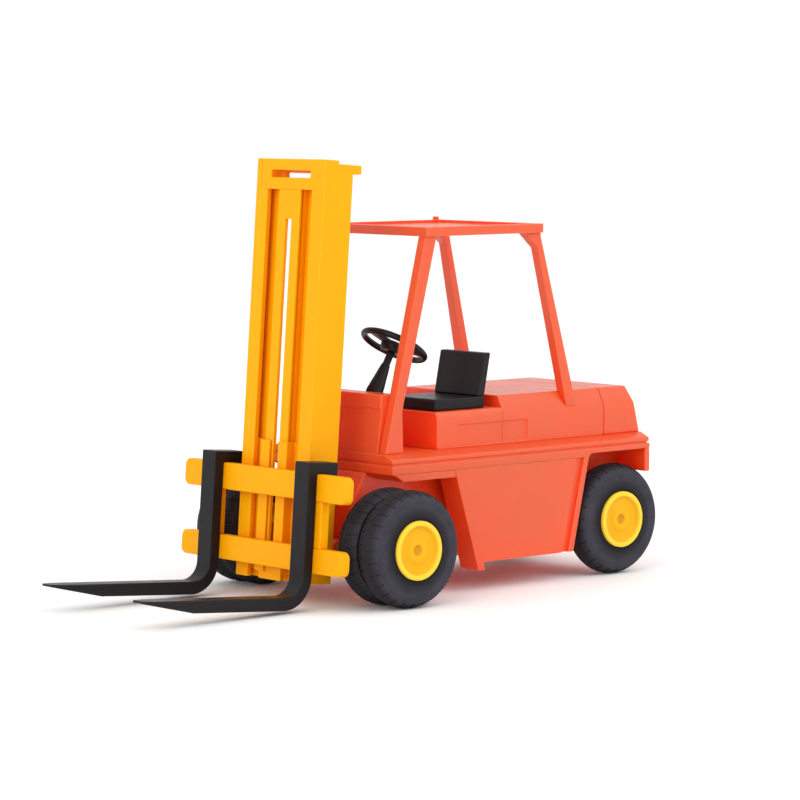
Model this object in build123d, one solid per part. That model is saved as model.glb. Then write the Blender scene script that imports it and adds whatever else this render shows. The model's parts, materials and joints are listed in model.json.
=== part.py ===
from build123d import *
import math
import os

os.makedirs("parts", exist_ok=True)

# Toy forklift truck, 1:87 scale. Millimetres, +X forwards, +Y left, +Z up, floor at z = 0.
# Shapes are drawn with the front axle at x = 0 and moved by row_shift when they are saved,
# so that the saved model is centred over the origin.
row_shift = 4.0

# Wheels and axles
axle_height = 5.0
wheelbase = 27.9
tyre_radius = 5.0
tyre_shoulder = 4.52
tyre_half_width = 1.2
rim_radius = 2.3
rim_lip = 2.52
axle_radius = 0.75
axle_clearance = 0.05
front_outer_tyre = 10.95
front_inner_tyre = 8.35
rear_tyre = 7.0

# Body
frame_half = 4.6
lower_half = 8.2
skirt_inner = 7.2
upper_half = 7.0
hood_half = 6.2
deck_bottom = 10.9
deck_top = 11.65
belt_bottom = 11.8
belt_top = 12.6
shoulder_height = 15.3
seat_deck = 15.8
hood_top = 16.8
body_front = -0.7
body_rear = -31.6
hood_front = -14.6
hood_seam = -26.9
fender_rear = -7.8
cowl_half = 6.04
cowl_rear = -2.85
cowl_top = 17.6

# Overhead guard
roof_bottom = 30.95
roof_top = 31.75
roof_half = 6.8
roof_front = -5.75
roof_rear = -19.5
post_width = 0.95
post_head = 31.25
front_post_lean = 1.565
rear_post_lean = 1.935

# Driver's seat, on the left half of the seat deck
seat_right = 0.35
seat_left = 6.1
seat_front = -7.3
seat_rear = -13.15
cushion_top = 16.85

# Steering wheel in front of the seat, its centre and the lean of its column
wheel_centre = (-5.55, 2.8, 21.45)
column_lean = 30.0
column_radius = 0.325
wheel_radius = 2.8
wheel_tube = 0.28
hub_radius = 1.15

# Mast, leaning backwards at rest. Mast shapes are drawn upright with the front face at x = 0
# and the axle height at z = 0, then leaned into place.
mast_lean = 4.25
mast_front = 5.98
mast_half = 4.5
mast_depth = 3.1
mast_bottom = -3.16
mast_top = 32.69
tab_top = 32.4
head_bottom = 30.1
side_plate = 3.9
flange_inner = 2.95
strip_half = 1.45
pivot_x = -4.0
pivot_z = -0.2
pin_radius = 0.5
lug_radius = 0.8

# Carriage and forks, in the same upright drawing as the mast
bar_back = 0.25
bar_front = 1.25
bar_half = 10.8
upper_bar = (4.12, 6.42)
lower_bar = (-1.9, 0.21)
fork_inner = 5.35
fork_outer = 7.2
fork_face = 2.25
blade_top = -3.85
tip_bottom = -4.05
tip_reach = 24.9

sin_lean = math.sin(math.radians(mast_lean))
cos_lean = math.cos(math.radians(mast_lean))


def block(x0, x1, y0, y1, z0, z1):
    """Box between two corners."""
    centre = Pos((x0 + x1) / 2, (y0 + y1) / 2, (z0 + z1) / 2)
    return centre * Box(x1 - x0, y1 - y0, z1 - z0)


def plate(points, y0, y1):
    """Side outline of (x, z) points, filled from y0 to y1."""
    outline = make_face(Polyline([(x, y0, z) for x, z in points], close=True))
    return extrude(outline, amount=y1 - y0, dir=(0, 1, 0))


def beam(points, x0, x1):
    """Cross-section of (y, z) points, filled from x0 to x1."""
    outline = make_face(Polyline([(x0, y, z) for y, z in points], close=True))
    return extrude(outline, amount=x1 - x0, dir=(1, 0, 0))


def prism(points, z0, z1):
    """Plan of (x, y) points, filled from z0 to z1."""
    outline = make_face(Polyline([(x, y, z0) for x, y in points], close=True))
    return extrude(outline, amount=z1 - z0, dir=(0, 0, 1))


def crossbar(x, z, radius, y0, y1):
    """Round bar along Y at (x, z)."""
    return Pos(x, (y0 + y1) / 2, z) * Rot(90, 0, 0) * Cylinder(radius, y1 - y0)


def both_sides(points):
    """Closed section from its left half, listed from the bottom up."""
    return points + [(-y, z) for y, z in reversed(points)]


def save(name, shape):
    export_step(Pos(row_shift, 0, 0) * shape, f"parts/{name}.step")


def save_pair(name, left):
    save(f"{name}_left", left)
    save(f"{name}_right", mirror(left, about=Plane.XZ))


# ---- wheels ----

def rim(x, hub_in, barrel_in, centre, face, bore_end):
    """One-piece rim with a dished face, a proud lip and a blind bore for the axle."""
    outline = [
        (hub_in, axle_radius),
        (hub_in, 1.3),
        (barrel_in, 1.3),
        (barrel_in, rim_radius),
        (centre + 0.9, rim_radius),
        (centre + 0.9, rim_lip),
        (face - 0.1, rim_lip),
        (face, rim_lip - 0.1),
        (face, 2.1),
        (face - 0.18, 1.95),
        (face - 0.18, 0.5),
        (face - 0.36, 0.3),
        (face - 0.36, 0),
        (bore_end, 0),
        (bore_end, axle_radius),
    ]
    section = make_face(Polyline([(0, y, r) for y, r in outline], close=True))
    return Pos(x, 0, axle_height) * revolve(section, Axis.Y)


def tyre(x, centre, outboard):
    """Domed tyre. An outboard tyre also seats the rim's lip and bulges a little more."""
    inner = centre - tyre_half_width
    outer = centre + tyre_half_width
    bead = (0, centre - 1.15, rim_radius)
    crown_in = (0, inner, tyre_shoulder)
    crown_out = (0, outer, tyre_shoulder)
    edges = [
        ThreePointArc(bead, (0, centre - 1.27, 3.6), crown_in),
        ThreePointArc(crown_in, (0, centre, tyre_radius), crown_out),
    ]
    if outboard:
        lip_edge = (0, centre + 1.25, rim_lip)
        lip_seat = (0, centre + 0.9, rim_lip)
        lip_root = (0, centre + 0.9, rim_radius)
        edges.append(ThreePointArc(crown_out, (0, centre + 1.4, 3.6), lip_edge))
        edges.append(Polyline([lip_edge, lip_seat, lip_root, bead]))
    else:
        bead_out = (0, centre + 1.15, rim_radius)
        edges.append(ThreePointArc(crown_out, (0, centre + 1.27, 3.6), bead_out))
        edges.append(Line(bead_out, bead))
    return Pos(x, 0, axle_height) * revolve(make_face(edges), Axis.Y)


front_bore_end = 10.0
rear_bore_end = 7.55
save("front_axle", crossbar(0, axle_height, axle_radius, 0.05 - front_bore_end, front_bore_end - 0.05))
save("rear_axle", crossbar(-wheelbase, axle_height, axle_radius, 0.05 - rear_bore_end, rear_bore_end - 0.05))
save_pair("front_rim", rim(0, 4.7, 7.2, front_outer_tyre, 12.46, front_bore_end))
save_pair("rear_rim", rim(-wheelbase, 4.7, 5.85, rear_tyre, 8.54, rear_bore_end))
save_pair("front_tyre_outer", tyre(0, front_outer_tyre, True))
save_pair("front_tyre_inner", tyre(0, front_inner_tyre, False))
save_pair("rear_tyre", tyre(-wheelbase, rear_tyre, True))

# ---- lower body ----

frame_outline = [
    (0.9, 2.8),
    (0.9, 8.2),
    (body_front, deck_bottom),
    (-31.0, deck_bottom),
    (-31.0, 7.0),
    (-29.6, 2.8),
]
frame = plate(frame_outline, -frame_half, frame_half)
for axle_x in (0, -wheelbase):
    frame = frame - crossbar(axle_x, axle_height, axle_radius + axle_clearance, -frame_half - 1, frame_half + 1)
save("main_frame", frame)

deck_outline = [
    (body_front, deck_bottom),
    (-24.0, deck_bottom),
    (-24.2, 11.2),
    (body_rear, 11.2),
    (body_rear, deck_top),
    (body_front, deck_top),
]
deck = plate(deck_outline, -lower_half, lower_half)
deck = deck + block(body_rear + 0.15, body_front - 0.15, -8.0, 8.0, deck_top, belt_bottom)
save("deck", deck)

save("rear_wall", block(body_rear, -31.0, -lower_half, lower_half, 9.1, 11.2))

fender_outline = [(-0.9, deck_bottom), (-1.9, 10.25), (-8.0, 10.25), (fender_rear, deck_bottom)]
fender = plate(fender_outline, frame_half, lower_half)
save_pair("fender_front", fender)

skirt_outline = [(fender_rear, deck_bottom), (-23.9, deck_bottom), (-22.0, 2.6), (-10.35, 2.6)]
skirt = plate(skirt_outline, skirt_inner, lower_half)
channel_outline = [(-23.3, deck_bottom), (-22.3, deck_bottom), (-20.55, 2.6), (-21.35, 2.6)]
skirt = skirt - plate(channel_outline, 7.9, lower_half)
return_outline = [(fender_rear, deck_bottom), (-8.6, deck_bottom), (-11.36, 1.9), (-10.56, 1.9)]
skirt = skirt + plate(return_outline, 5.9, lower_half)
save_pair("skirt", skirt)

# ---- upper body ----

belt_section = both_sides([(8.1, belt_bottom), (8.1, 12.15), (7.1, belt_top)])
save("belt", beam(belt_section, body_rear, body_front))

panel_recess = block(-17.5, -9.1, 6.85, 7.1, 12.8, 14.6)
panel_recess = panel_recess + mirror(panel_recess, about=Plane.XZ)
seat_section = both_sides([(upper_half, belt_top), (upper_half, shoulder_height), (6.73, seat_deck)])
hood_section = both_sides([(upper_half, belt_top), (upper_half, shoulder_height), (hood_half, hood_top)])
save("seat_box", beam(seat_section, hood_front, -6.8) - panel_recess)
hood = beam(hood_section, hood_seam + 0.05, hood_front)
save("hood", hood - panel_recess)

tail_outline = [(hood_seam - 0.05, belt_top), (-31.47, belt_top), (-30.4, hood_top), (hood_seam - 0.05, hood_top)]
tail = beam(hood_section, body_rear, hood_seam - 0.05) & plate(tail_outline, -upper_half, upper_half)
save("counterweight", tail)

cowl_outline = [(-0.82, belt_top), (-1.4, cowl_top), (cowl_rear, cowl_top), (cowl_rear, belt_top)]
cowl = plate(cowl_outline, -cowl_half, cowl_half)
cowl = cowl + plate([(-1.16, 16.4), (-1.28, cowl_top), (-1.5, cowl_top), (-1.5, 16.4)], -cowl_half, cowl_half)
save("cowl", cowl)

cushion = block(seat_rear, seat_front, seat_right, seat_left, seat_deck, cushion_top)
save("seat_cushion", cushion)
backrest_outline = [(-12.35, cushion_top), (-13.1, 20.6), (-13.9, 20.6), (seat_rear, cushion_top)]
save("seat_backrest", plate(backrest_outline, seat_right, seat_left))

# ---- steering ----

steering = Pos(*wheel_centre) * Rot(0, -column_lean, 0)
dash = block(cowl_rear, 2, -cowl_half, cowl_half, belt_top, 24)
column = steering * Pos(0, 0, -3.175) * Cylinder(column_radius, 6.05)
save("steering_column", column - dash)
boot_outline = [
    (column_radius, -6.2),
    (0.95, -6.2),
    (0.8, -4.9),
    (0.66, -3.7),
    (0.5, -2.6),
    (0.4, -1.9),
    (column_radius, -1.9),
]
boot_section = make_face(Polyline([(r, 0, z) for r, z in boot_outline], close=True))
save("steering_boot", steering * revolve(boot_section, Axis.Z) - dash)

wheel = Torus(wheel_radius, wheel_tube) + Pos(0, 0, -0.3) * Cylinder(hub_radius, 0.9)
for spoke_angle in (0, 120, 240):
    wheel = wheel + Rot(0, 0, spoke_angle) * Pos(1.6, 0, -0.05) * Box(2.4, 1.0, 0.3)
wheel = wheel - Pos(0, 0, -0.5) * Cylinder(column_radius + 0.035, 0.8)
save("steering_wheel", steering * wheel)

# ---- overhead guard ----

roof = block(roof_rear, roof_front, -roof_half, roof_half, roof_bottom, roof_top)
roof = roof - block(roof_rear + 0.6, roof_front - 0.6, -6.2, 6.2, roof_top - 0.25, roof_top)
roof = roof + Pos(roof_rear + 0.8, -6.5, roof_top + 0.15) * Cylinder(0.28, 0.3)
save("guard_roof", roof)

over_roof = block(-30, 5, 0, 12, roof_bottom, roof_bottom + 3)


def guard_post(outline, top_y, lean, foot):
    """Left post leaning outwards towards its foot, cut level with the roof."""
    post = plate(outline, top_y - post_width, top_y)
    post = Pos(0, top_y, roof_bottom) * Rot(lean, 0, 0) * Pos(0, -top_y, -roof_bottom) * post
    return post - over_roof - block(-30, 5, 0, 12, foot - 3, foot)


front_post = [
    (-5.8, post_head),
    (-7.2, post_head),
    (cowl_rear, 16.2),
    (cowl_rear, 12.2),
    (-0.75, 12.2),
    (-5.8, roof_bottom),
]
save_pair("guard_post_front", guard_post(front_post, 6.6, front_post_lean, belt_top))

rear_post = [
    (-17.6, post_head),
    (roof_rear, post_head),
    (roof_rear, 30.6),
    (-23.5, 15.2),
    (-22.3, 15.2),
    (-19.1, 29.6),
    (-17.6, roof_bottom),
]
save_pair("guard_post_rear", guard_post(rear_post, 6.5, rear_post_lean, 15.5) - hood)

# ---- mast pivot on the truck ----

lean = Pos(mast_front, 0, axle_height) * Rot(0, -mast_lean, 0)
pin_x = mast_front + pivot_x * cos_lean - pivot_z * sin_lean
pin_z = axle_height + pivot_x * sin_lean + pivot_z * cos_lean

bracket = crossbar(pin_x, pin_z, lug_radius, 3.4, 4.4)
bracket = bracket + block(0.9, pin_x, 3.4, 4.4, pin_z - lug_radius, pin_z + lug_radius)
save_pair("mast_bracket", bracket - crossbar(pin_x, pin_z, pin_radius, 3, 5))
save("mast_pin", crossbar(pin_x, pin_z, pin_radius, -4.4, 4.4))

# ---- mast ----

rail_plan = [
    (0, flange_inner),
    (0, mast_half),
    (-mast_depth, mast_half),
    (-mast_depth, side_plate),
    (-1.1, side_plate),
    (-1.1, 1.38),
    (-0.9, 1.38),
    (-0.9, side_plate),
    (-0.4, side_plate),
    (-0.4, flange_inner),
]
head_outline = [
    (0, head_bottom),
    (0, mast_top),
    (-1.5, mast_top),
    (-1.5, tab_top),
    (-mast_depth, tab_top),
    (-mast_depth, head_bottom),
]
rail = prism(rail_plan, mast_bottom, head_bottom) + plate(head_outline, side_plate, mast_half)
save_pair("mast_rail", lean * rail)

strip = block(-0.35, 0, -strip_half, strip_half, mast_bottom, head_bottom)
strip = strip - block(-0.35, 0, -0.38, 0.38, -2.0, 27.6)
for side in (-1, 1):
    strip = strip + block(-0.9, -0.35, min(side * 1.3, side * strip_half), max(side * 1.3, side * strip_half),
                          mast_bottom, head_bottom)
save("mast_centre_strip", lean * strip)

head = block(-1.5, 0, -side_plate, side_plate, head_bottom, mast_top)
save("mast_head", lean * (head - block(-1.5, 0, -2.6, 2.6, 31.1, 31.75)))

tab_plan = [
    (-2.4, -side_plate),
    (-2.4, side_plate),
    (-mast_depth, side_plate),
    (-mast_depth, mast_half),
    (-4.05, mast_half),
    (-4.05, -mast_half),
    (-mast_depth, -mast_half),
    (-mast_depth, -side_plate),
]
save("mast_tab", lean * prism(tab_plan, 31.65, tab_top))

foot_outline = [
    (-1.1, mast_bottom),
    (-1.1, -2.2),
    (-2.4, -2.2),
    (-2.4, 1.5),
    (-mast_depth, 1.5),
    (-mast_depth, mast_bottom),
]
save("mast_foot", lean * plate(foot_outline, -side_plate, side_plate))

lug = crossbar(pivot_x, pivot_z, lug_radius, 2.2, 3.3)
lug = lug + block(pivot_x, -mast_depth, 2.2, 3.3, pivot_z - lug_radius, pivot_z + lug_radius)
lug = lug - crossbar(pivot_x, pivot_z, pin_radius + 0.05, 2, 4)
save_pair("mast_lug", lean * lug)

# ---- carriage and forks ----

for bar_name, (bar_low, bar_high) in (("upper", upper_bar), ("lower", lower_bar)):
    bar = block(bar_back, bar_front, -bar_half, bar_half, bar_low, bar_high)
    save(f"carriage_bar_{bar_name}", lean * fillet(bar.edges().filter_by(Axis.X), 0.6))

save_pair("carriage_plate", lean * block(0.3, 1.2, 6.0, 7.9, lower_bar[1], upper_bar[0]))

guide_plan = [
    (bar_back, 0.57),
    (bar_back, 1.75),
    (-0.65, 1.75),
    (-0.65, 3.1),
    (-0.45, 3.1),
    (-0.45, 3.6),
    (-0.85, 3.6),
    (-0.85, 1.5),
    (0.05, 1.5),
    (0.05, 0.57),
]
save_pair("carriage_guide", lean * prism(guide_plan, -2.5, 8.7))

tip = (tip_reach - mast_front + tip_bottom * sin_lean) / cos_lean
heel_in = 1.6
heel_out = 2.8
heel_root = bar_front + heel_out
turn = math.sqrt(0.5)
blade_bottom = -4.98
fork_edges = [
    Polyline(
        [
            (0.15, upper_bar[1]),
            (0.15, 5.6),
            (-0.96, 5.6),
            (-0.96, 7.4),
            (fork_face, 7.4),
            (fork_face, blade_top + heel_in),
        ]
    ),
    ThreePointArc(
        (fork_face, blade_top + heel_in),
        (fork_face + heel_in * (1 - turn), blade_top + heel_in * (1 - turn)),
        (fork_face + heel_in, blade_top),
    ),
    Polyline(
        [
            (fork_face + heel_in, blade_top),
            (tip, blade_top),
            (tip, tip_bottom),
            (13.5, -4.92),
            (heel_root, blade_bottom),
        ]
    ),
    ThreePointArc(
        (heel_root, blade_bottom),
        (heel_root - heel_out * turn, blade_bottom + heel_out * (1 - turn)),
        (bar_front, blade_bottom + heel_out),
    ),
    Polyline([(bar_front, blade_bottom + heel_out), (bar_front, upper_bar[1]), (0.15, upper_bar[1])]),
]
fork_side = Plane.XZ * make_face(fork_edges)
fork = Pos(0, fork_outer, 0) * extrude(fork_side, amount=fork_outer - fork_inner)
fork_plan = [
    (-2, fork_inner),
    (tip - 1.2, fork_inner),
    (tip, fork_inner + 0.3),
    (tip, fork_outer - 0.3),
    (tip - 1.2, fork_outer),
    (-2, fork_outer),
]
save_pair("fork", lean * (fork & prism(fork_plan, -6, 8)))
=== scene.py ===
import json
import math

import bmesh
import bpy
from mathutils import Matrix, Vector


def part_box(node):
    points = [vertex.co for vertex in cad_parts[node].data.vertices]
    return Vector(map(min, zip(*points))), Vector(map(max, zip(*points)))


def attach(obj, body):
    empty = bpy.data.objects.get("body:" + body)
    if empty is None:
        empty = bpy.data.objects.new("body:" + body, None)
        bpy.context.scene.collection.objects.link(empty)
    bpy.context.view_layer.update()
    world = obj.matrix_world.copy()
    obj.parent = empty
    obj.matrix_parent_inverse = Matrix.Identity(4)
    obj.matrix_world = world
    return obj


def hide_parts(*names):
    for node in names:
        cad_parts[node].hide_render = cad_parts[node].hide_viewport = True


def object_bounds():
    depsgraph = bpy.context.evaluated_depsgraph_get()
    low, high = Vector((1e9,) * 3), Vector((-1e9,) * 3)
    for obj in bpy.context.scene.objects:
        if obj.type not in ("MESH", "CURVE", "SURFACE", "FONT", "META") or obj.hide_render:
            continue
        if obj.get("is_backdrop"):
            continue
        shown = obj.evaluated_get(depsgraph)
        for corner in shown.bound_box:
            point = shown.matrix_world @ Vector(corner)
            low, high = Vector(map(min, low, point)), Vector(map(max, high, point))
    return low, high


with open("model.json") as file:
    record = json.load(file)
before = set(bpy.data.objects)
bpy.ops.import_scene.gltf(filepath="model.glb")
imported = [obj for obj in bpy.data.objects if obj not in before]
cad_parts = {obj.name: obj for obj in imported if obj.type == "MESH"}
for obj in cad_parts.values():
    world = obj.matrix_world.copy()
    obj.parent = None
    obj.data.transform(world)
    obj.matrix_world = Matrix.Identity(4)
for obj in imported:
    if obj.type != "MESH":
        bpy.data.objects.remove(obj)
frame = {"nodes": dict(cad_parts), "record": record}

# The looks of the toy forklift truck. Outlines are in millimetres, drawn like the CAD part with the
# front axle at x = 0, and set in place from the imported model's own boxes and joints.
cad_low, cad_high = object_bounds()
record = frame["record"]
joints = {joint["name"]: joint for joint in record["behaviour"]["joints"]}
slot_of = {part["node"]: part["material_slot"] for part in record["subparts"]}
body_of = {node: body for body, nodes in record["behaviour"]["bodies"].items() for node in nodes}

MM = 0.001
FINE_TURN = 96


def middle(node):
    low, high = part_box(node)
    return (low + high) / 2


front_axle = middle("front_axle")
rear_axle = middle("rear_axle")
lift_axis = Vector(joints["fork_lift"]["axis"])
lean = math.atan2(-lift_axis.x, lift_axis.z)
pivot = Vector(joints["mast_tilt"]["pos_m"])
steer_centre = Vector(joints["steering_wheel_spin"]["pos_m"])
steer_axis = Vector(joints["steering_wheel_spin"]["axis"])

to_metres = Matrix.Scale(MM, 4)
TRUCK = Matrix.Translation((front_axle.x, 0, 0)) @ to_metres
mast_turn = Matrix.Rotation(-lean, 4, "Y")
PIVOT_IN_MAST = Vector((-4.0, 0, -0.2)) * MM
MAST = Matrix.Translation(pivot - mast_turn @ PIVOT_IN_MAST) @ mast_turn @ to_metres
column_lean = math.atan2(-steer_axis.x, steer_axis.z)
STEER = Matrix.Translation(steer_centre) @ Matrix.Rotation(-column_lean, 4, "Y") @ to_metres
FRONT = Matrix.Translation(front_axle) @ to_metres
REAR = Matrix.Translation(rear_axle) @ to_metres


# ---- materials ----

class Graph:
    """A material's node tree with short calls for adding and joining nodes."""

    def __init__(self, name):
        self.material = bpy.data.materials.new(name)
        self.material.use_nodes = True
        self.tree = self.material.node_tree
        self.tree.nodes.clear()

    def add(self, kind, settings=None, **inputs):
        node = self.tree.nodes.new("ShaderNode" + kind)
        for key, value in (settings or {}).items():
            setattr(node, key, value)
        for key, value in inputs.items():
            self.feed(node, key.replace("_", " "), value)
        return node

    def feed(self, node, name, value):
        socket = node.inputs[name]
        if isinstance(value, bpy.types.NodeSocket):
            self.tree.links.new(value, socket)
        else:
            socket.default_value = value

    def noise(self, coords, scale, detail=3.0, rough=0.55):
        return self.add("TexNoise", Vector=coords, Scale=scale, Detail=detail, Roughness=rough).outputs["Fac"]

    def span(self, value, low, high, to_low, to_high):
        node = self.add("MapRange", {"clamp": True})
        self.feed(node, "Value", value)
        self.feed(node, "From Min", low)
        self.feed(node, "From Max", high)
        self.feed(node, "To Min", to_low)
        self.feed(node, "To Max", to_high)
        return node.outputs["Result"]

    def mix(self, factor, a, b):
        node = self.add("Mix", {"data_type": "RGBA"})
        for index, value in ((0, factor), (6, a), (7, b)):
            if isinstance(value, bpy.types.NodeSocket):
                self.tree.links.new(value, node.inputs[index])
            else:
                node.inputs[index].default_value = value
        return node.outputs[2]

    def math(self, operation, a, b=0.5):
        node = self.add("Math", {"operation": operation})
        for index, value in ((0, a), (1, b)):
            if isinstance(value, bpy.types.NodeSocket):
                self.tree.links.new(value, node.inputs[index])
            else:
                node.inputs[index].default_value = value
        return node.outputs[0]

    def edges(self, radius, sharp):
        """1 along convex and concave edges, 0 on flat faces."""
        soft = self.add("Bevel", {"samples": 6}, Radius=radius).outputs["Normal"]
        true = self.add("NewGeometry").outputs["Normal"]
        dot = self.add("VectorMath", {"operation": "DOT_PRODUCT"})
        self.tree.links.new(soft, dot.inputs[0])
        self.tree.links.new(true, dot.inputs[1])
        return self.span(dot.outputs["Value"], 1.0, sharp, 0.0, 1.0)

    def bump(self, height, distance, strength, normal=None):
        node = self.add("Bump", Strength=strength, Distance=distance)
        self.tree.links.new(height, node.inputs["Height"])
        if normal is not None:
            self.tree.links.new(normal, node.inputs["Normal"])
        return node.outputs["Normal"]

    def surface(self, shader):
        out = self.add("OutputMaterial")
        self.tree.links.new(shader.outputs[0], out.inputs["Surface"])
        return self.material


def colour(red, green, blue):
    """sRGB 0..255 as a linear colour."""
    parts = []
    for value in (red, green, blue):
        share = value / 255
        parts.append(share / 12.92 if share <= 0.04045 else ((share + 0.055) / 1.055) ** 2.4)
    return (*parts, 1.0)


def moulded_plastic(
        name, base, flow_tone_and_painted_shade, light, rough, scatter, glow_radius, mirror, gloss, reach=1.6 * MM, painted_rim_shading=False):
    """Satin moulded plastic: faint flow marks, painted shade in hollows and shaded places, painted highlights
    along the edges, and a fine skin.
    """
    g = Graph(name)
    coords = g.add("TexCoord").outputs["Object"]
    flow = g.noise(coords, 160.0, 2.0)
    specks = g.noise(coords, 2600.0, 4.0, 0.65)
    skin = g.noise(coords, 7000.0, 2.0)
    ripple = g.noise(coords, 420.0, 2.0)
    shade = g.mix(g.span(flow, 0.35, 0.65, 0.0, 0.1), base, flow_tone_and_painted_shade)
    # Painted shade: ambient occlusion mixes hollows, corners and shaded faces towards the deep tone.
    corner = g.add("AmbientOcclusion", {"samples": 6}, Distance=reach).outputs["AO"]
    shade = g.mix(g.span(corner, 0.25, 0.9, 0.9, 0.0), shade, flow_tone_and_painted_shade)
    if painted_rim_shading:
        # Painted highlight on the rim's outer ring and painted shade at its centre.
        outward = g.add("Attribute", {"attribute_name": "outward"}).outputs["Fac"]
        shade = g.mix(g.span(outward, 0.79, 0.84, 0.0, 0.85), shade, light)
        shade = g.mix(g.span(outward, 0.14, 0.2, 0.75, 0.0), shade, flow_tone_and_painted_shade)
    # Painted highlight: edges found from the bevel normal, flecked by noise, are lightened towards the light
    # tone.
    painted_edge_highlight = g.math("MULTIPLY", g.edges(0.16 * MM, 0.86), g.span(specks, 0.3, 0.7, 0.2, 0.75))
    shade = g.mix(painted_edge_highlight, shade, light)
    shine = g.add("BsdfPrincipled")
    g.feed(shine, "Base Color", shade)
    g.feed(shine, "Roughness", g.span(g.noise(coords, 900.0, 3.0), 0.3, 0.7, rough - 0.06, rough + 0.08))
    g.feed(shine, "Specular IOR Level", mirror)
    g.feed(shine, "Coat Weight", gloss)
    g.feed(shine, "Coat Roughness", g.span(flow, 0.3, 0.7, 0.1, 0.2))
    g.feed(shine, "Subsurface Weight", scatter)
    g.feed(shine, "Subsurface Radius", (1.0, 0.22, 0.08))
    g.feed(shine, "Subsurface Scale", glow_radius)
    waves = g.bump(ripple, 0.03 * MM, 0.35)
    g.feed(shine, "Normal", g.bump(skin, 0.004 * MM, 0.5, waves))
    return g.surface(shine)


def tyre_rubber(name):
    """Soft matt rubber: dusty bloom, painted shade in the grooves and on the sidewall near the rim, darker
    towards the crown, painted highlights on the edges, a pebbled skin.
    """
    g = Graph(name)
    coords = g.add("TexCoord").outputs["Object"]
    dust = g.noise(coords, 700.0, 4.0, 0.6)
    pebble = g.noise(coords, 5200.0, 3.0)
    corner = g.add("AmbientOcclusion", {"samples": 6}, Distance=0.6 * MM).outputs["AO"]
    shade = g.mix(g.span(dust, 0.35, 0.7, 0.0, 0.6), colour(48, 47, 55), colour(66, 64, 73))
    # Painted shade: ambient occlusion darkens the grooves.
    shade = g.mix(g.span(corner, 0.3, 0.9, 0.85, 0.0), shade, colour(10, 9, 11))
    outward = g.add("Attribute", {"attribute_name": "outward"}).outputs["Fac"]
    # Painted shade on the sidewall near the rim.
    shade = g.mix(g.span(outward, 0.1, 0.5, 0.85, 0.0), shade, colour(12, 11, 13))
    shade = g.mix(g.span(outward, 0.82, 0.93, 0.0, 0.7), shade, colour(24, 21, 22))
    # Painted highlight: edges are lightened by the bevel-normal mask.
    shade = g.mix(g.math("MULTIPLY", g.edges(0.14 * MM, 0.88), 0.3), shade, colour(76, 74, 80))
    shine = g.add("BsdfPrincipled")
    g.feed(shine, "Base Color", shade)
    g.feed(shine, "Roughness", g.span(dust, 0.3, 0.7, 0.52, 0.7))
    g.feed(shine, "Specular IOR Level", 0.14)
    g.feed(shine, "Normal", g.bump(pebble, 0.008 * MM, 0.5))
    return g.surface(shine)


def drawn_steel(name):
    """Drawn wire: fine lines along its length."""
    g = Graph(name)
    coords = g.add("TexCoord").outputs["Object"]
    stretch = g.add("Mapping", Vector=coords, Scale=(1.0, 0.04, 1.0)).outputs["Vector"]
    lines = g.noise(stretch, 9000.0, 3.0)
    shine = g.add("BsdfPrincipled")
    streak = g.span(lines, 0.35, 0.65, 0.0, 1.0)
    g.feed(shine, "Base Color", g.mix(streak, (0.42, 0.42, 0.43, 1), (0.6, 0.6, 0.61, 1)))
    g.feed(shine, "Metallic", 1.0)
    g.feed(shine, "Roughness", g.span(lines, 0.3, 0.7, 0.25, 0.42))
    g.feed(shine, "Normal", g.bump(lines, 0.004 * MM, 0.4))
    return g.surface(shine)


# For each plastic the second colour is the flow-mark tone and also the painted shade, and the third is the
# painted highlight; the orange's wide reach paints shade over whole shaded faces.
materials = {
    "orange_plastic": moulded_plastic(
        "moulded_orange", colour(208, 86, 46), colour(255, 66, 12), colour(226, 120, 86),
        rough=0.4, scatter=0.4, glow_radius=1.6 * MM, mirror=0.3, gloss=0.22, reach=8 * MM),
    "yellow_plastic": moulded_plastic(
        "moulded_yellow", colour(236, 162, 0), colour(250, 146, 0), colour(244, 182, 30),
        rough=0.42, scatter=0.2, glow_radius=0.6 * MM, mirror=0.1, gloss=0.02),
    "rim_plastic": moulded_plastic(
        "moulded_rim_yellow", colour(228, 170, 0), colour(196, 130, 0), colour(248, 204, 60),
        rough=0.38, scatter=0.15, glow_radius=0.4 * MM, mirror=0.15, gloss=0.05, painted_rim_shading=True),
    "black_plastic": moulded_plastic(
        "moulded_black", colour(24, 21, 24), colour(8, 7, 9), colour(52, 48, 52),
        rough=0.42, scatter=0.0, glow_radius=0.1 * MM, mirror=0.14, gloss=0.1),
    "tyre": tyre_rubber("tyre_rubber"),
    "steel": drawn_steel("drawn_steel"),
}


# ---- mesh helpers ----

def solid(name, points, faces, place):
    """A closed mesh object from points in millimetres, set in place in metres."""
    mesh = bpy.data.meshes.new(name)
    mesh.from_pydata([tuple(p) for p in points], [], faces)
    mesh.transform(place)
    work = bmesh.new()
    work.from_mesh(mesh)
    bmesh.ops.recalc_face_normals(work, faces=work.faces)
    work.to_mesh(mesh)
    work.free()
    piece = bpy.data.objects.new(name, mesh)
    bpy.context.scene.collection.objects.link(piece)
    return piece


def filled(name, outline, axis, low, high, place=None):
    """Closed outline filled from low to high along X, Y or Z."""
    spread = {
        "X": lambda a, b, t: (t, a, b),
        "Y": lambda a, b, t: (a, t, b),
        "Z": lambda a, b, t: (a, b, t),
    }[axis]
    count = len(outline)
    points = [spread(a, b, low) for a, b in outline] + [spread(a, b, high) for a, b in outline]
    faces = [tuple(range(count)), tuple(range(count, 2 * count))]
    faces += [(i, (i + 1) % count, count + (i + 1) % count, count + i) for i in range(count)]
    return solid(name, points, faces, TRUCK if place is None else place)


def block(name, x0, x1, y0, y1, z0, z1, place=None):
    return filled(name, [(x0, z0), (x1, z0), (x1, z1), (x0, z1)], "Y", y0, y1, place)


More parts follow.
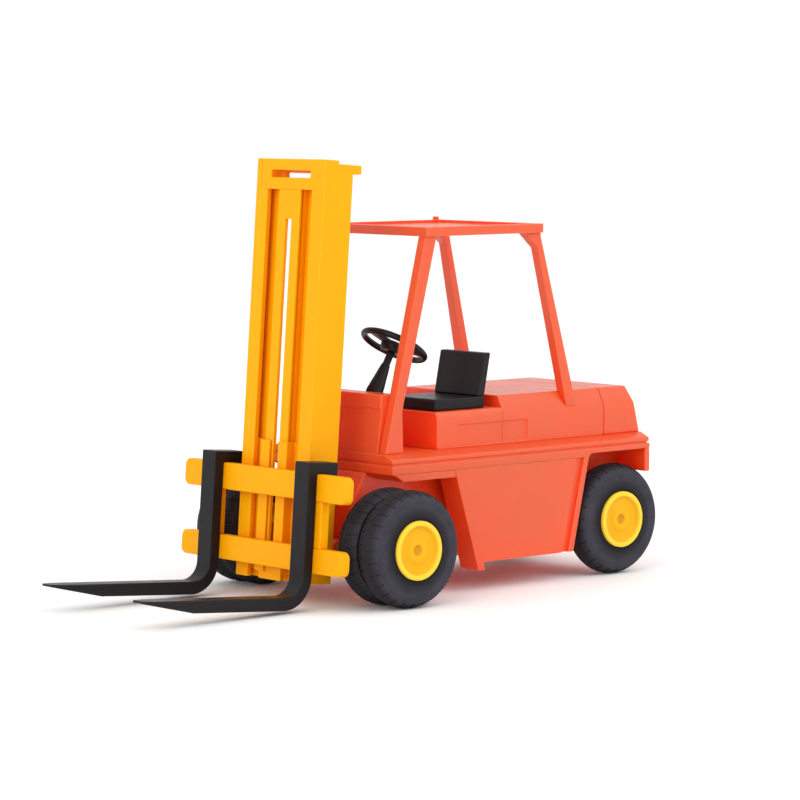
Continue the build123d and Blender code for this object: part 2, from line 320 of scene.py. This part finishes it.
def turned(name, outline, place, axis="Y", steps=FINE_TURN):
    """Closed outline of (along, radius) points turned about Y or Z. Points on the axis are shared."""
    points, rings, faces = [], [], []
    for along, radius in outline:
        ring = []
        if radius < 1e-6:
            ring = [len(points)] * steps
            points.append((0, along, 0) if axis == "Y" else (0, 0, along))
        else:
            for step in range(steps):
                angle = 2 * math.pi * step / steps
                a, b = radius * math.cos(angle), radius * math.sin(angle)
                ring.append(len(points))
                points.append((a, along, b) if axis == "Y" else (a, b, along))
        rings.append(ring)
    for this, after in zip(rings, rings[1:] + rings[:1]):
        for step in range(steps):
            face = [this[step], this[(step + 1) % steps], after[(step + 1) % steps], after[step]]
            face = [v for i, v in enumerate(face) if v != face[i - 1]]
            if len(face) > 2:
                faces.append(face)
    return solid(name, points, faces, place)


def arc(cx, cz, radius, start, stop, steps):
    """Points along an arc, angles in degrees."""
    turns = [math.radians(start + (stop - start) * i / steps) for i in range(steps + 1)]
    return [(cx + radius * math.cos(t), cz + radius * math.sin(t)) for t in turns]


def rounded(x0, x1, z0, z1, radius, steps=6):
    """Outline of a rectangle with round corners."""
    left, right, low, high = x0 + radius, x1 - radius, z0 + radius, z1 - radius
    corners = ((right, high), (left, high), (left, low), (right, low))
    outline = []
    for quarter, (x, z) in enumerate(corners):
        outline += arc(x, z, radius, 90 * quarter, 90 * (quarter + 1), steps)
    return outline


def both_sides(half):
    """A whole section from its left half, listed from the bottom up."""
    return half + [(-y, z) for y, z in reversed(half)]


def settle(piece):
    """Replaces the piece's mesh by what its modifiers make of it."""
    graph = bpy.context.evaluated_depsgraph_get()
    graph.update()
    made = bpy.data.meshes.new_from_object(piece.evaluated_get(graph))
    piece.modifiers.clear()
    piece.data = made
    return piece


def combine(piece, others, operation):
    for other in others:
        step = piece.modifiers.new(operation.lower(), "BOOLEAN")
        step.operation = operation
        step.solver = "EXACT"
        step.object = other
    settle(piece)
    for other in others:
        bpy.data.objects.remove(other)
    return piece


def cut(piece, *cutters):
    return combine(piece, cutters, "DIFFERENCE")


def join(piece, *others):
    return combine(piece, others, "UNION")


def soften(piece, width, steps=3, angle=30):
    """Rounds the moulded edges."""
    step = piece.modifiers.new("soft_edges", "BEVEL")
    step.width = width * MM
    step.segments = steps
    step.limit_method = "ANGLE"
    step.angle_limit = math.radians(angle)
    step.harden_normals = True
    step.use_clamp_overlap = True
    step.miter_outer = "MITER_ARC"
    return piece


def smooth(piece, angle=38):
    for face in piece.data.polygons:
        face.use_smooth = True
    piece.data.set_sharp_from_angle(angle=math.radians(angle))
    return piece


def dress(piece, node, *more_nodes):
    """Gives the piece its material, and lets it stand for its CAD node and ride on that node's body."""
    slot = slot_of[node]
    piece.data.materials.clear()
    piece.data.materials.append(materials[slot])
    for face in piece.data.polygons:
        face.use_smooth = True
        face.material_index = 0
    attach(piece, body_of[node])
    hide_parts(node, *more_nodes)
    return piece


def mirrored(piece, name):
    """The same piece on the right-hand side."""
    twin = bpy.data.objects.new(name, piece.data.copy())
    twin.data.transform(Matrix.Scale(-1, 4, (0, 1, 0)))
    twin.data.flip_normals()
    for step in piece.modifiers:
        copy = twin.modifiers.new(step.name, step.type)
        for key in ("width", "segments", "limit_method", "angle_limit", "harden_normals", "miter_outer"):
            setattr(copy, key, getattr(step, key))
    bpy.context.scene.collection.objects.link(twin)
    return twin


def dress_pair(piece, node, label):
    """Dresses a left piece and its mirrored twin."""
    twin = mirrored(piece, f"{label}_right")
    dress(piece, f"{node}_left")
    dress(twin, f"{node}_right")


# ---- wheels ----

TYRE_RADIUS = 5.0
AXLE_HEIGHT = 5.0
RIM_SEAT = 2.52
SHOULDER = (1.16, 4.5)
CROWN_CURVE = (SHOULDER[0] ** 2 + (TYRE_RADIUS - SHOULDER[1]) ** 2) / (2 * (TYRE_RADIUS - SHOULDER[1]))
LUGS = 28


def ease(value, low, high):
    share = min(1.0, max(0.0, (value - low) / (high - low)))
    return share * share * (3 - 2 * share)


def arc_through(a, b, c, steps):
    """Points on the circle arc from a through b to c."""
    ax, ay, bx, by, cx, cy = *a, *b, *c
    d = 2 * (ax * (by - cy) + bx * (cy - ay) + cx * (ay - by))
    sa, sb, sc = ax * ax + ay * ay, bx * bx + by * by, cx * cx + cy * cy
    ox = (sa * (by - cy) + sb * (cy - ay) + sc * (ay - by)) / d
    oy = (sa * (cx - bx) + sb * (ax - cx) + sc * (bx - ax)) / d
    radius = math.hypot(ax - ox, ay - oy)
    start = math.atan2(ay - oy, ax - ox)
    stop = math.atan2(cy - oy, cx - ox)
    through = math.atan2(by - oy, bx - ox)
    if (through - start) % (2 * math.pi) > (stop - start) % (2 * math.pi):
        sweep = -((start - stop) % (2 * math.pi))
    else:
        sweep = (stop - start) % (2 * math.pi)
    turns = [start + sweep * i / steps for i in range(steps + 1)]
    return [(ox + radius * math.cos(t), oy + radius * math.sin(t)) for t in turns]


def measure(piece, place, inner, outer):
    """Stores on every vertex how far it lies from the axle, 0 at inner and 1 at outer."""
    outward = piece.data.attributes.new("outward", "FLOAT", "POINT")
    back = place.inverted()
    for vertex, item in zip(piece.data.vertices, outward.data):
        local = back @ vertex.co
        item.value = (math.hypot(local.x, local.z) - inner) / (outer - inner)
    return piece


def side_relief(radius, outboard):
    """How far the sidewall is set in: a proud shoulder band and bead ring with a hollow between."""
    if not outboard:
        return 0.0
    hollow = ease(radius, 2.7, 3.1) * (1 - ease(radius, 3.7, 4.25))
    ring = ease(radius, 3.3, 3.36) * (1 - ease(radius, 3.42, 3.48))
    return 0.12 * hollow - 0.02 * ring


def tyre(name, centre, place, outboard):
    """A domed tyre with staggered shoulder lugs round a zigzag centre groove."""
    sidewall_in = arc_through((-1.15, 2.3), (-1.27, 3.6), (-SHOULDER[0], SHOULDER[1]), 14)
    if outboard:
        sidewall_out = arc_through(SHOULDER, (1.4, 3.6), (1.25, 2.52), 40)
        seat = [(0.9, 2.52), (0.9, 2.3)]
    else:
        sidewall_out = arc_through(SHOULDER, (1.27, 3.6), (1.15, 2.3), 14)
        seat = []
    across = [-1.16, -1.1, -1.04, -0.98, -0.9, -0.8, -0.66, -0.5]
    across += [-0.34, -0.24, -0.18, -0.12, -0.07, -0.03, 0.0]
    across += [-s for s in reversed(across[:-1])]
    crown = [(s, None) for s in across]
    rows = sidewall_in + crown + sidewall_out + seat
    stops = (0.0, 0.035, 0.12, 0.205, 0.24, 0.37, 0.5, 0.535, 0.62, 0.705, 0.74, 0.87)
    points, faces = [], []
    steps = LUGS * len(stops)
    for s, radius in rows:
        for lug in range(LUGS):
            for stop in stops:
                turn = lug + stop
                if radius is None:
                    full = TYRE_RADIUS - CROWN_CURVE + math.sqrt(CROWN_CURVE ** 2 - s * s)
                    phase = stop if s > 0 else (stop + 0.5) % 1.0
                    bar = 1 - ease(phase, 0.205, 0.24) if phase > 0.12 else ease(phase, 0.0, 0.035)
                    bar = bar * ease(abs(s), 0.2, 0.26) * (1 - ease(abs(s), 1.08, 1.17))
                    zig = 1 - ease(abs(s), 0.06, 0.13)
                    height = full - 0.11 * max(bar, 0.6 * zig)
                    skew = 0.22 * abs(s)
                    y = s
                else:
                    height = radius
                    skew = 0.22 * min(abs(s), 1.2)
                    y = s - math.copysign(side_relief(radius, outboard and s > 0), s)
                angle = 2 * math.pi * (turn + skew) / LUGS
                points.append((height * math.cos(angle), centre + y, height * math.sin(angle)))
    for row in range(len(rows)):
        after = (row + 1) % len(rows)
        for step in range(steps):
            beside = (step + 1) % steps
            here, there = row * steps, after * steps
            faces.append((here + step, here + beside, there + beside, there + step))
    piece = measure(solid(name, points, faces, place), place, RIM_SEAT, TYRE_RADIUS)
    return smooth(piece, 42)


def rim(name, place, hub_in, barrel_in, centre, face, bore_end):
    """A one-piece rim with a rounded lip, a dished face and a small centre dimple."""
    lip = [(centre + 0.9, 2.3), (centre + 0.9, 2.52)]
    lip += [(face - 0.12, 2.52)] + arc(face - 0.12, 2.4, 0.12, 90, 0, 5)[1:]
    lip += arc(face - 0.06, 2.16, 0.06, 0, -90, 3)
    dish = [(face - 0.16, 2.08), (face - 0.27, 2.0), (face - 0.32, 1.88), (face - 0.33, 1.5)]
    dish += [(face - 0.32, 1.16), (face - 0.28, 1.1), (face - 0.25, 1.02), (face - 0.24, 0.62)]
    dish += [(face - 0.27, 0.5), (face - 0.38, 0.42), (face - 0.44, 0.28), (face - 0.46, 0.0)]
    back = [(bore_end, 0.0), (bore_end, 0.75), (hub_in, 0.75), (hub_in, 1.24), (hub_in + 0.06, 1.3)]
    back += [(barrel_in, 1.3), (barrel_in, 2.24), (barrel_in + 0.06, 2.3)]
    return smooth(measure(turned(name, back + lip + dish, place), place, 0, RIM_SEAT), 34)


dress_pair(rim("front_wheel_rim_left", FRONT, 4.7, 7.2, 10.95, 12.46, 10.0), "front_rim", "front_wheel_rim")
dress_pair(rim("rear_wheel_rim_left", REAR, 4.7, 5.85, 7.0, 8.54, 7.55), "rear_rim", "rear_wheel_rim")
dress_pair(tyre("front_tread_outer_left", 10.95, FRONT, True), "front_tyre_outer", "front_tread_outer")
dress_pair(tyre("front_tread_inner_left", 8.35, FRONT, False), "front_tyre_inner", "front_tread_inner")
dress_pair(tyre("rear_tread_left", 7.0, REAR, True), "rear_tyre", "rear_tread")

# ---- lower body ----

WHEELBASE = (front_axle.x - rear_axle.x) / MM
frame_outline = [(0.9, 2.8), (0.9, 8.2), (-0.7, 10.9), (-31.0, 10.9), (-31.0, 7.0), (-29.6, 2.8)]
chassis = filled("chassis_beam", frame_outline, "Y", -4.6, 4.6)
for axle_x in (0, -WHEELBASE):
    axle_place = TRUCK @ Matrix.Translation((axle_x, 0, AXLE_HEIGHT))
    cut(chassis, turned("bore", [(-6, 0), (-6, 0.8), (6, 0.8), (6, 0)], axle_place, steps=48))
dress(soften(chassis, 0.15), "main_frame")

deck_outline = [(-0.7, 10.9), (-24.0, 10.9), (-24.2, 11.2), (-31.6, 11.2), (-31.6, 11.65), (-0.7, 11.65)]
deck = filled("deck_moulding", deck_outline, "Y", -8.2, 8.2)
join(deck, block("web", -31.45, -0.85, -8.0, 8.0, 11.4, 11.8))
dress(soften(deck, 0.09), "deck")
dress(soften(block("rear_apron", -31.6, -31.0, -8.2, 8.2, 9.1, 11.2), 0.12), "rear_wall")
fender_outline = [(-0.9, 10.9), (-1.9, 10.25), (-8.0, 10.25), (-7.8, 10.9)]
fender = filled("fender_lip_left", fender_outline, "Y", 4.6, 8.2)
dress_pair(soften(fender, 0.1), "fender_front", "fender_lip")

skirt = filled("side_skirt_left", [(-7.9, 10.9), (-23.9, 10.9), (-22.0, 2.6), (-10.45, 2.6)], "Y", 7.2, 8.2)
return_wall = filled("wall", [(-7.8, 10.9), (-8.6, 10.9), (-11.36, 1.9), (-10.56, 1.9)], "Y", 5.9, 8.2)
join(skirt, return_wall)
cut(skirt, filled("channel", [(-23.61, 12.2), (-22.57, 12.2), (-20.28, 1.3), (-21.04, 1.3)], "Y", 7.9, 8.6))
dress_pair(soften(skirt, 0.1), "skirt", "side_skirt")

# ---- upper body ----

belt_section = both_sides([(8.1, 11.8), (8.1, 12.15), (7.1, 12.6)])
dress(soften(filled("belt_moulding", belt_section, "X", -31.6, -0.7), 0.09), "belt")
seat_section = both_sides([(7.0, 12.6), (7.0, 15.3), (6.73, 15.8)])
hood_section = both_sides([(7.0, 12.6), (7.0, 15.3), (6.2, 16.8)])


def panel_cutter(label):
    left = filled(label, rounded(-17.5, -9.1, 12.8, 14.6, 0.25), "Y", 6.85, 7.6)
    right = filled(label + "_r", rounded(-17.5, -9.1, 12.8, 14.6, 0.25), "Y", -7.6, -6.85)
    return left, right


seat_box = cut(filled("seat_base", seat_section, "X", -14.6, -6.8), *panel_cutter("panel"))
dress(soften(seat_box, 0.16), "seat_box")
hood = cut(filled("hood_moulding", hood_section, "X", -26.85, -14.6), *panel_cutter("panel"))
dress(soften(hood, 0.16), "hood")
tail = filled("tail_block", hood_section, "X", -31.6, -26.95)
slope_outline = [(-31.47, 12.6), (-30.4, 16.8), (-29.9, 18.8), (-34, 18.8), (-34, 11.0), (-31.878, 11.0)]
dress(soften(cut(tail, filled("slope", slope_outline, "Y", -9, 9)), 0.16), "counterweight")

cowl_outline = [(-0.82, 12.6), (-1.3, 16.4), (-1.16, 16.4), (-1.28, 17.6), (-2.85, 17.6), (-2.85, 12.6)]
dress(soften(filled("cowl_moulding", cowl_outline, "Y", -6.04, 6.04), 0.09), "cowl")
SEAT_RIGHT, SEAT_LEFT = 0.35, 6.1
pad = block("seat_pad", -13.15, -7.3, SEAT_RIGHT, SEAT_LEFT, 15.8, 16.85)
dress(soften(pad, 0.16, 4), "seat_cushion")
back_outline = [(-12.35, 16.85), (-13.1, 20.6), (-13.9, 20.6), (-13.15, 16.85)]
dress(soften(filled("seat_back", back_outline, "Y", SEAT_RIGHT, SEAT_LEFT), 0.14, 4), "seat_backrest")

# ---- steering ----

COWL_REAR = -2.85
column = turned("steering_shaft", [(-6.2, 0), (-6.2, 0.325), (-0.15, 0.325), (-0.15, 0)], STEER, "Z", 48)
dress(smooth(cut(column, block("dash", COWL_REAR, 2, -6, 6, 12, 24))), "steering_column")
boot_outline = [(-6.2, 0.325), (-6.2, 0.94), (-5.5, 0.86), (-4.9, 0.79), (-4.3, 0.72), (-3.7, 0.65)]
boot_outline += [(-3.2, 0.57), (-2.6, 0.49), (-2.2, 0.43), (-1.95, 0.39), (-1.9, 0.37), (-1.9, 0.325)]
boot = turned("steering_sleeve", boot_outline, STEER, "Z", 48)
dress(smooth(cut(boot, block("dash", COWL_REAR, 2, -6, 6, 12, 24))), "steering_boot")

GRIP, TUBE = 2.8, 0.28
section = [(TUBE * math.sin(t), GRIP + TUBE * math.cos(t)) for t in [math.pi * i / 10 for i in range(20)]]
ring = turned("steering_ring", section, STEER, "Z")
hub_outline = [(0.15, 0), (0.15, 0.8), (0.1, 1.0), (0.0, 1.11), (-0.1, 1.15), (-0.5, 1.1), (-0.75, 0.9)]
hub_outline += [(-0.75, 0.36), (-0.1, 0.36), (-0.1, 0)]
hub = turned("hub", hub_outline, STEER, "Z", 48)
spokes = []
for turn in (0, 120, 240):
    place = STEER @ Matrix.Rotation(math.radians(turn), 4, "Z")
    spokes.append(soften(block("spoke", 0.42, 2.78, -0.5, 0.5, -0.2, 0.1, place), 0.06, 2))
for spoke in spokes:
    settle(spoke)
dress(smooth(join(ring, hub, *spokes)), "steering_wheel")

# ---- overhead guard ----

ROOF_LOW, ROOF_HIGH = 30.95, 31.75
roof = block("guard_canopy", -19.5, -5.75, -6.8, 6.8, ROOF_LOW, ROOF_HIGH)
cut(roof, filled("panel", rounded(-18.9, -6.35, -6.2, 6.2, 0.3), "Z", ROOF_HIGH - 0.25, 33.0))
pin_outline = [(31.2, 0), (31.2, 0.28), (31.97, 0.28), (32.05, 0.2), (32.05, 0)]
join(roof, turned("pin", pin_outline, TRUCK @ Matrix.Translation((-18.7, -6.5, 0)), "Z", 32))
dress(soften(roof, 0.1), "guard_roof")


def guard_post(name, outline, top_y, spread):
    """A post between two side outlines, leaning outwards below the roof."""
    sheared = Matrix.Identity(4)
    sheared[1][2] = -spread
    sheared[1][3] = spread * ROOF_LOW
    return filled(name, outline, "Y", top_y - 0.95, top_y, TRUCK @ sheared)


front_post = [(-5.8, ROOF_LOW), (-7.11, ROOF_LOW), (-2.85, 16.2), (-2.85, 12.6), (-0.86, 12.6)]
strut = guard_post("guard_strut_front_left", front_post, 6.6, math.tan(math.radians(1.565)))
dress_pair(soften(strut, 0.1), "guard_post_front", "guard_strut_front")
rear_post = [(-17.6, ROOF_LOW), (-19.5, ROOF_LOW), (-19.5, 30.6)]
rear_post += [(-23.42, 15.5), (-22.23, 15.5), (-19.1, 29.6)]
strut = guard_post("guard_strut_rear_left", rear_post, 6.5, math.tan(math.radians(1.935)))
cut(strut, filled("hood_shape", hood_section, "X", -26, -16))
dress_pair(soften(strut, 0.1), "guard_post_rear", "guard_strut_rear")

# ---- mast pivot ----

LUG_RADIUS = 0.8
pin_x, pin_z = (pivot.x - front_axle.x) / MM, pivot.z / MM


def eye(name, x, z, y0, y1, bore, wall_x, place=None):
    """A lug with a round end about (x, z) and a flat root at wall_x."""
    way = 180 if wall_x > x else 0
    rise = LUG_RADIUS if way == 0 else -LUG_RADIUS
    outline = arc(x, z, LUG_RADIUS, way - 90, way + 90, 16) + [(wall_x, z + rise), (wall_x, z - rise)]
    lug = filled(name, outline, "Y", y0, y1, place)
    hole = turned("hole", [(y0 - 1, 0), (y0 - 1, bore), (y1 + 1, bore), (y1 + 1, 0)],
                  (TRUCK if place is None else place) @ Matrix.Translation((x, 0, z)), steps=32)
    return soften(cut(lug, hole), 0.06, 2, 40)


dress_pair(eye("pivot_ear_left", pin_x, pin_z, 3.4, 4.4, 0.5, 0.9), "mast_bracket", "pivot_ear")
dress_pair(eye("mast_eye_left", -4.0, -0.2, 2.2, 3.3, 0.55, -3.1, MAST), "mast_lug", "mast_eye")

# ---- mast ----

FOOT, HEAD, TOP = -3.16, 30.1, 32.69
TAB_TOP = 32.4
side_outline = [(0, FOOT), (0, TOP), (-1.5, TOP), (-1.5, TAB_TOP), (-3.1, TAB_TOP), (-3.1, FOOT)]
rail = filled("mast_channel_left", side_outline, "Y", 3.9, 4.5, MAST)
flange = block("flange", -0.4, 0, 2.95, 4.2, FOOT, HEAD, MAST)
join(rail, flange, block("web", -1.1, -0.9, 1.38, 4.2, FOOT, HEAD, MAST))
dress_pair(soften(rail, 0.08), "mast_rail", "mast_channel")

strip = block("mast_inner_strip", -0.35, 0, -1.45, 1.45, FOOT, HEAD, MAST)
webs = [block("web", -0.9, -0.2, *sorted((side * 1.3, side * 1.45)), FOOT, HEAD, MAST) for side in (-1, 1)]
join(strip, *webs)
cut(strip, block("slit", -0.6, 0.3, -0.38, 0.38, -2.0, 27.6, MAST))
dress(soften(strip, 0.06), "mast_centre_strip")

head = block("mast_crosshead", -1.5, 0, -3.9, 3.9, HEAD, TOP, MAST)
cut(head, filled("slot", rounded(-2.6, 2.6, 31.1, 31.75, 0.2), "X", -2, 1, MAST))
dress(soften(head, 0.06), "mast_head")
tab_plan = [(-2.4, -3.9), (-2.4, 3.9), (-3.1, 3.9), (-3.1, 4.5)]
tab_plan += [(-4.05, 4.5), (-4.05, -4.5), (-3.1, -4.5), (-3.1, -3.9)]
dress(soften(filled("mast_rear_tab", tab_plan, "Z", 31.65, TAB_TOP, MAST), 0.08), "mast_tab")
foot_outline = [(-1.1, FOOT), (-1.1, -2.2), (-2.4, -2.2), (-2.4, 1.5), (-3.1, 1.5), (-3.1, FOOT)]
dress(soften(filled("mast_sole", foot_outline, "Y", -3.9, 3.9, MAST), 0.1), "mast_foot")

# ---- carriage and forks ----

for level, (low, high) in (("upper", (4.12, 6.42)), ("lower", (-1.9, 0.21))):
    bar = filled(f"carriage_rail_{level}", rounded(-10.8, 10.8, low, high, 0.6), "X", 0.25, 1.25, MAST)
    dress(soften(bar, 0.14), f"carriage_bar_{level}")
plate = block("carriage_web_left", 0.3, 1.2, 6.0, 7.9, 0.21, 4.12, MAST)
dress_pair(soften(plate, 0.1), "carriage_plate", "carriage_web")
guide_plan = [(0.25, 0.57), (0.25, 1.75), (-0.65, 1.75), (-0.65, 3.1), (-0.45, 3.1), (-0.45, 3.6)]
guide_plan += [(-0.85, 3.6), (-0.85, 1.5), (0.05, 1.5), (0.05, 0.57)]
guide = filled("carriage_slider_left", guide_plan, "Z", -2.5, 8.7, MAST)
dress_pair(soften(guide, 0.05), "carriage_guide", "carriage_slider")

tip_reach = (cad_high.x - front_axle.x) / MM
mast_foot_x = (MAST.translation.x - front_axle.x) / MM
tip = (tip_reach - mast_foot_x - 4.05 * math.sin(lean)) / math.cos(lean)
fork_outline = [(0.15, 6.42), (0.15, 5.6), (-0.96, 5.6), (-0.96, 7.4), (2.25, 7.4)]
fork_outline += arc(3.85, -2.25, 1.6, 180, 270, 16)
fork_outline += [(tip, -3.85), (tip, -4.05), (13.5, -4.92)]
fork_outline += arc(4.05, -2.18, 2.8, 270, 180, 20) + [(1.25, 6.42)]
fork = filled("fork_arm_left", fork_outline, "Y", 5.35, 7.2, MAST)
for near, far in ((5.35, 5.65), (7.2, 6.9)):
    away = near + (near - far)
    inset = far - (near - far) * 0.5
    corner = [(tip - 1.2, near), (tip + 0.6, inset), (tip + 0.6, away), (tip - 1.2, away)]
    cut(fork, filled("corner", corner, "Z", -6, -2, MAST))
dress_pair(soften(fork, 0.12, 3, 25), "fork", "fork_arm")

# ---- hidden steel ----

for node in ("front_axle", "rear_axle", "mast_pin"):
    wire = frame["nodes"][node]
    wire.data.materials.clear()
    wire.data.materials.append(materials["steel"])

# ---- floor, light and camera ----

g = Graph("pale_floor")
coords = g.add("TexCoord").outputs["Object"]
grain = g.noise(coords, 60.0, 4.0)
sheet = g.add("BsdfPrincipled")
shade = g.mix(g.span(grain, 0.3, 0.7, 0.0, 1.0), (0.95, 0.95, 0.95, 1), (0.97, 0.97, 0.97, 1))
g.feed(sheet, "Base Color", shade)
g.feed(sheet, "Roughness", 0.8)
floor_material = g.surface(sheet)
mesh = bpy.data.meshes.new("floor")
FLOOR_RADIUS, FLOOR_SIDES = 4.0, 64
floor_edge = arc(0, 0, FLOOR_RADIUS, 0, 360 - 360 / FLOOR_SIDES, FLOOR_SIDES - 1)
mesh.from_pydata([(x, y, cad_low.z) for x, y in floor_edge], [], [tuple(range(FLOOR_SIDES))])
floor = bpy.data.objects.new("floor", mesh)
bpy.context.scene.collection.objects.link(floor)
mesh.materials.append(floor_material)
floor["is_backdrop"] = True

bpy.context.scene.view_settings.view_transform = "Standard"
world = bpy.data.worlds.new("studio")
bpy.context.scene.world = world
world.use_nodes = True
world.node_tree.nodes["Background"].inputs["Color"].default_value = (1.0, 1.0, 1.0, 1)
world.node_tree.nodes["Background"].inputs["Strength"].default_value = 1.04

centre = (cad_low + cad_high) / 2


def lamp(name, offset, size, watts, tint):
    light = bpy.data.lights.new(name, "AREA")
    light.shape = "DISK"
    light.size = size
    light.energy = watts
    light.color = tint
    holder = bpy.data.objects.new(name, light)
    holder.location = centre + Vector(offset)
    holder.rotation_mode = "QUATERNION"
    holder.rotation_quaternion = (-Vector(offset)).to_track_quat("-Z", "Y")
    bpy.context.scene.collection.objects.link(holder)


lamp("key", (-0.2, 0.42, 0.34), 0.5, 1.1, (1.0, 0.99, 0.97))
lamp("fill", (0.5, 0.12, 0.22), 0.5, 1.0, (1.0, 1.0, 1.0))

camera_data = bpy.data.cameras.new("camera")
camera_data.lens = 151.66
camera_data.sensor_width = 36.0
camera_data.clip_start = 0.001
camera_data.clip_end = 50.0
camera = bpy.data.objects.new("camera", camera_data)
bpy.context.scene.collection.objects.link(camera)
bpy.context.scene.camera = camera
camera.location = (front_axle.x + 0.185696, 0.221554, 0.042518)
forward = Vector((-0.65691, -0.74876, -0.08849)).normalized()
right = forward.cross(Vector((0, 0, 1))).normalized()
upward = right.cross(forward)
facing = Matrix((right, upward, -forward)).transposed().to_4x4()
camera.matrix_world = Matrix.Translation(camera.location) @ facing

low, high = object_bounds()
